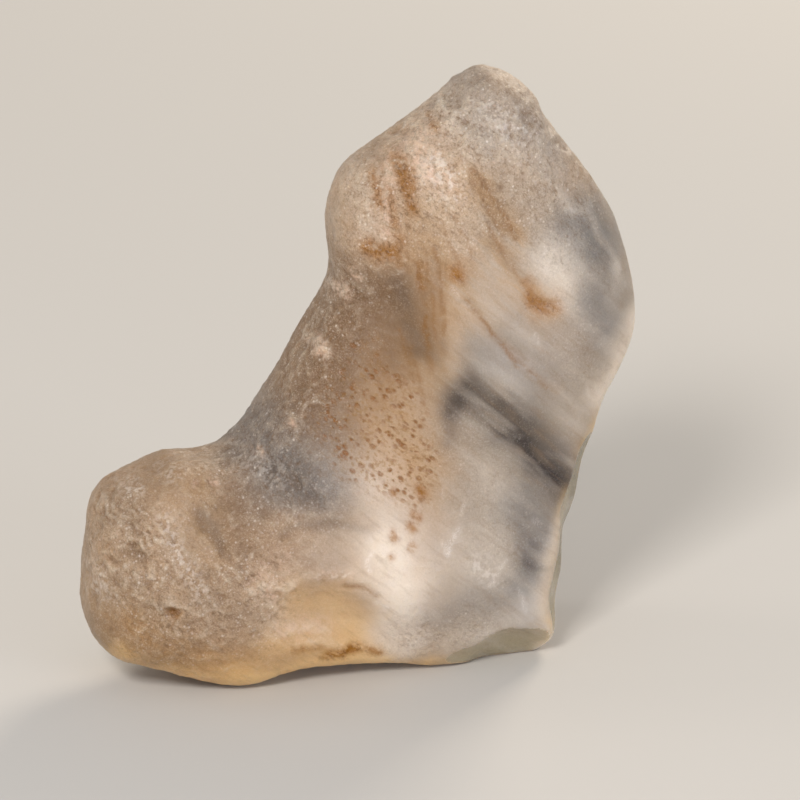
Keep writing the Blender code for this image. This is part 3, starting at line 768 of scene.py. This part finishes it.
def dots(vector, size, kept, edge=0.48):
    """Soft dots of many sizes, in a kept share of cells of the given size in mm."""
    cells = add_node(tree, "TexVoronoi", {"Vector": vector, "Scale": 1 / size})
    chance = add_node(tree, "SeparateColor", {"Color": cells.outputs["Color"]}).outputs
    apart = add_node(tree, "Math", {0: cells.outputs["Distance"], 1: times(chance[1], 0.4)})
    dot = share(apart.outputs[0], edge, edge - 0.32)
    return times(dot, share(chance[0], 1 - kept, 1.1 - kept))


def over(below, hex_code, amount):
    """Lays a colour over another by an amount."""
    inputs = {"Factor": amount, 6: below, 7: linear(hex_code)}
    return add_node(tree, "Mix", inputs, data_type="RGBA").outputs[2]


print("nodes so far", len(tree.nodes))

# %% [markdown]
# The body is a warm grey brown that changes a little every 6 mm. Over it lie, from below, the
# greyer worn side, honey, umber, haze, smoke, amber and milk. Haze and smoke are partly painted
# shade, amber is painted glow and milk partly painted glow. The fresh glass of the scars is
# olive, because nothing clouds it there. Last come the threads of the flow.

# %% Layer the colours that lie inside the stone
cloud = noise_node(in_mm, 6.0, 4)
fibre = noise_node(threads, 1.0, 4)
veins = noise_node(threads, 2.6, 3)
body = {"Factor": share(cloud, 0.35, 0.65), 6: linear("ab937a"), 7: linear("bea081")}
colour = add_node(tree, "Mix", body, data_type="RGBA").outputs[2]
colour = over(colour, "ac9f8f", times(mark("worn"), 0.85))
colour = over(colour, "b98e58", times(mark("honey"), share(fibre, 0.15, 0.55)))
colour = over(colour, "755739", times(mark("umber"), 0.9))
# Grey windows, partly painted shade.
colour = over(colour, "989592", times(mark("haze_and_shade"), 0.9))
# Smoky bands, partly painted shade.
colour = over(colour, "302724", times(mark("smoke_and_shade"), share(cloud, -0.1, 0.45)))
# Painted glow of the thin edges and the sole.
colour = over(colour, "f2c98c", times(mark("painted_amber_glow"), 0.95))
# White veils, and painted glow on some edges.
colour = over(colour, "dccfc0", times(mark("milk_and_glow"), 0.95))
colour = over(colour, "aea183", times(mark("scar"), share(mark("milk_and_glow"), 1.2, 0.0)))
colour = over(colour, "6f6650", times(times(mark("scar"), mark("umber")), 0.8))
colour = over(colour, "8f6f4c", times(share(fibre, 0.52, 0.75), 0.3))
colour = over(colour, "d6cabb", times(times(share(veins, 0.5, 0.7), mark("worn")), 0.28))
colour = over(colour, "8c7960", times(times(share(veins, 0.46, 0.28), mark("worn")), 0.2))
print("nodes so far", len(tree.nodes))

# %% [markdown]
# On the skin lie ochre spots about half a millimetre wide, the strands, the crust and the rust,
# each broken up by noise of 0.3 to 0.7 mm. The bite of the sand is a brown mottle, grains of
# 0.14 mm and round pale dots of 0.3 to 0.5 mm, partly pale frost and partly painted glints.
# Crests are painted paler and hollows darker, a painted highlight and a painted shade. Noise
# makes worm shaped patches where spots are wanted, so spots and pale dots come from a cell
# texture, with at most one dot in a cell.

# %% Layer the colours that lie on the skin
grit = noise_node(in_mm, 0.14, 3)
flecks = noise_node(in_mm, 0.42, 3)
clumps = noise_node(in_mm, 1.1, 3)
break_up = noise_node(grains, 0.7, 3)
speckle = noise_node(grains, 0.34, 3)
swarm = times(share(mark("spotted"), 0.15, 0.7), share(clumps, 0.36, 0.56))
spot = times(swarm, dots(grains, 0.54, 0.95, edge=0.68))
fine_dots = dots(in_mm, 0.32, 0.7)
coarse_dots = dots(in_mm, 0.5, 0.25)
frosted = share(mark("frost"), -0.35, 0.9)
# Crests are painted paler, a painted highlight, and hollows darker, a painted shade.
colour = over(colour, "ecdcc8", times(share(mark("height"), 0.53, 0.82), 0.38))
colour = over(colour, "7c5a34", times(share(mark("height"), 0.44, 0.1), 0.35))
colour = over(colour, "9a7030", times(times(mark("spotted"), share(speckle, 0.52, 0.66)), 0.6))
colour = over(colour, "8a5408", times(spot, 0.9))
colour = over(colour, "8e5f20", times(mark("stain"), share(break_up, 0.3, 0.55)))
colour = over(colour, "e2c4ac", times(mark("crust"), share(break_up, 0.35, 0.6)))
colour = over(colour, "9a640a", times(mark("rust"), share(break_up, 0.25, 0.5)))
colour = over(colour, "744404", times(times(mark("rust"), share(speckle, 0.52, 0.66)), 0.7))
mottle = times(share(speckle, 0.5, 0.66), share(clumps, 0.8, 0.4))
colour = over(colour, "74522a", times(times(mottle, mark("frost")), 0.65))
dark_grain = times(share(grit, 0.5, 0.68), share(clumps, 0.75, 0.3))
colour = over(colour, "523a20", times(times(dark_grain, frosted), 0.4))
bright_grain = times(share(grit, 0.48, 0.32), share(clumps, 0.25, 0.7))
colour = over(colour, "f4e6d2", times(times(bright_grain, frosted), 0.4))
# Pale dots on the frost, partly its pale bite and partly painted glints.
bright = times(share(clumps, 0.3, 0.65), fine_dots)
colour = over(colour, "fbf4ec", times(times(mark("frost"), bright), 0.75))
colour = over(colour, "efe4d8", times(times(mark("frost"), coarse_dots), 0.35))
# Painted glints.
colour = over(colour, "f8f0e8", times(mark("sparkle"), share(flecks, 0.46, 0.6)))
colour = over(colour, "f4ece4", times(times(mark("scratched"), share(grit, 0.4, 0.6)), 0.55))
print("nodes so far", len(tree.nodes))

# %% [markdown]
# The skin has three finishes: sand frosted, worn to a satin on the right, and glossy where a
# flake has come off. Roughness follows the frost mark, and the pits that are too small for the
# mesh are a bump, as are the hollows of the ochre spots. The hazy windows let the most light
# through and the milky veils the least. The absorption tints what passes a faint brown.

# %% Finish the skin
SCAR_ROUGHNESS = 0.2
PIT_DEPTH = 0.00024


def ranged(value, low, high, **more):
    """Spreads a value between two others."""
    inputs = {"Value": value, "To Min": low, "To Max": high, **more}
    return add_node(tree, "MapRange", inputs).outputs[0]


rough = {"Factor": mark("scar"), 2: ranged(mark("frost"), 0.32, 0.42), 3: SCAR_ROUGHNESS}
rough = add_node(tree, "Mix", rough, data_type="FLOAT").outputs[0]
bite = ranged(mark("frost"), 0.3, 1.0)
pits = {"Vector": in_mm, "Scale": 2.4, "Detail": 5, "Roughness": 0.7}
pits = add_node(tree, "TexNoise", pits).outputs[0]
spot_pits = times(spot, -0.4)
pit_height = add_node(tree, "Math", {0: times(bite, pits), 1: spot_pits}).outputs[0]
bump = {"Height": pit_height, "Distance": PIT_DEPTH, "Strength": 1.0}
bump = add_node(tree, "Bump", bump).outputs[0]
clouded = {0: mark("milk_and_glow"), 1: mark("haze_and_shade")}
clouded = add_node(tree, "Math", clouded, operation="SUBTRACT").outputs[0]
clear = ranged(clouded, 0.5, 0.1, **{"From Min": -1.0})
shader = add_node(
    tree,
    "BsdfPrincipled",
    {
        "Base Color": colour,
        "Roughness": rough,
        "IOR": 1.46,
        "Normal": bump,
        "Transmission Weight": clear,
        "Subsurface Weight": 0.5,
        "Subsurface Radius": (1.0, 0.8, 0.55),
        "Subsurface Scale": 0.004,
    },
)
absorb = add_node(tree, "VolumeAbsorption", {"Color": linear("ecd2ae"), "Density": 60.0})
output = add_node(tree, "OutputMaterial", {"Surface": shader.outputs[0]})
tree.links.new(absorb.outputs[0], output.inputs["Volume"])
print("nodes", len(tree.nodes))

# %% [markdown]
# The finished skin takes the place of the plain solid, which stays in the frame unchanged.

# %% Put the stone in the place of its solid
stone = bpy.data.objects.new("desert_glass_skin", skin)
bpy.context.scene.collection.objects.link(stone)
skin.materials.clear()
skin.materials.append(glass)
skin.polygons.foreach_set("use_smooth", np.ones(len(skin.polygons), bool))
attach(stone, "root")
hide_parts("desert_glass")
print("stone", len(skin.polygons), "quads")

# %% [markdown]
# The stone stands on a plain pale floor, one large square of matt paper that fills the view.

# %% Lay the floor
FLOOR_HALF = 1.5

form = bmesh.new()
bmesh.ops.create_grid(form, x_segments=1, y_segments=1, size=FLOOR_HALF)
floor_mesh = bpy.data.meshes.new("floor")
form.to_mesh(floor_mesh)
form.free()
floor = bpy.data.objects.new("floor", floor_mesh)
bpy.context.scene.collection.objects.link(floor)
# It gives the eye an even pale ground without any shine.
paper = bpy.data.materials.new("matt paper backdrop")
paper.use_nodes = True
sheet = paper.node_tree.nodes["Principled BSDF"]
sheet.inputs["Base Color"].default_value = linear("bcb9b5")
sheet.inputs["Roughness"].default_value = 0.9
floor_mesh.materials.append(paper)
print("floor", 2 * FLOOR_HALF, "m wide")

# %% [markdown]
# Five soft lights stand round the stone. The key, from the upper left, shows the relief. A weak
# cool fill from the right keeps the hazy windows grey, and a very weak one from low down lights
# the foot. Two lights behind the stone make its thin edges glow, as they do against the sky,
# and the pale world fills the shadows.

# %% Hang the lights
STONE_MIDDLE = Vector((0.0, 0.0, 0.025))
WORLD_STRENGTH = 0.5


def soft_light(name, place, size, watts, hex_code):
    """A square area light that looks at the middle of the stone."""
    data = bpy.data.lights.new(name, "AREA")
    data.size = size
    data.energy = watts
    data.color = linear(hex_code)[:3]
    lamp = bpy.data.objects.new(name, data)
    bpy.context.scene.collection.objects.link(lamp)
    lamp.location = place
    lamp.rotation_mode = "QUATERNION"
    lamp.rotation_quaternion = (STONE_MIDDLE - lamp.location).to_track_quat("-Z", "Y")
    return lamp


soft_light("key", (-0.26, -0.36, 0.38), 0.14, 2.5, "fffaf4")
soft_light("right fill", (0.30, -0.38, 0.05), 0.20, 1.5, "eef3ff")
soft_light("edge glow", (0.42, 0.46, 0.34), 0.24, 3.2, "fff1dd")
soft_light("left edge glow", (-0.50, 0.22, 0.26), 0.20, 0.5, "fff6ec")
soft_light("low fill", (-0.12, -0.40, 0.04), 0.07, 0.16, "f6f6ff")
world = bpy.data.worlds.new("studio")
world.use_nodes = True
sky = world.node_tree.nodes["Background"]
sky.inputs["Color"].default_value = linear("eef0f2")
sky.inputs["Strength"].default_value = WORLD_STRENGTH
bpy.context.scene.world = world

# %% [markdown]
# The camera looks down at about 20 degrees, from a little to the toe side, through a long lens
# that keeps the outline flat. Its place is worked out from the width of the view on the stone.

# %% Place the camera
AIM = Vector((3.85, 0.59, 23.2)) * MM
AZIMUTH = math.radians(-16.3)
ELEVATION = math.radians(20.0)
DISTANCE = 0.43
VIEW_WIDTH = 70.8 * MM
SENSOR = 36.0

lens = bpy.data.cameras.new("camera")
lens.sensor_width = SENSOR
lens.lens = SENSOR * DISTANCE / VIEW_WIDTH
lens.clip_start = 0.01
camera = bpy.data.objects.new("camera", lens)
bpy.context.scene.collection.objects.link(camera)
level = math.cos(ELEVATION)
towards = Vector((math.sin(AZIMUTH) * level, -math.cos(AZIMUTH) * level, math.sin(ELEVATION)))
camera.location = AIM + towards * DISTANCE
camera.rotation_mode = "QUATERNION"
camera.rotation_quaternion = (-towards).to_track_quat("-Z", "Y")
bpy.context.scene.camera = camera
bpy.context.scene.view_settings.view_transform = "Standard"
print("lens", round(lens.lens, 1), "mm")
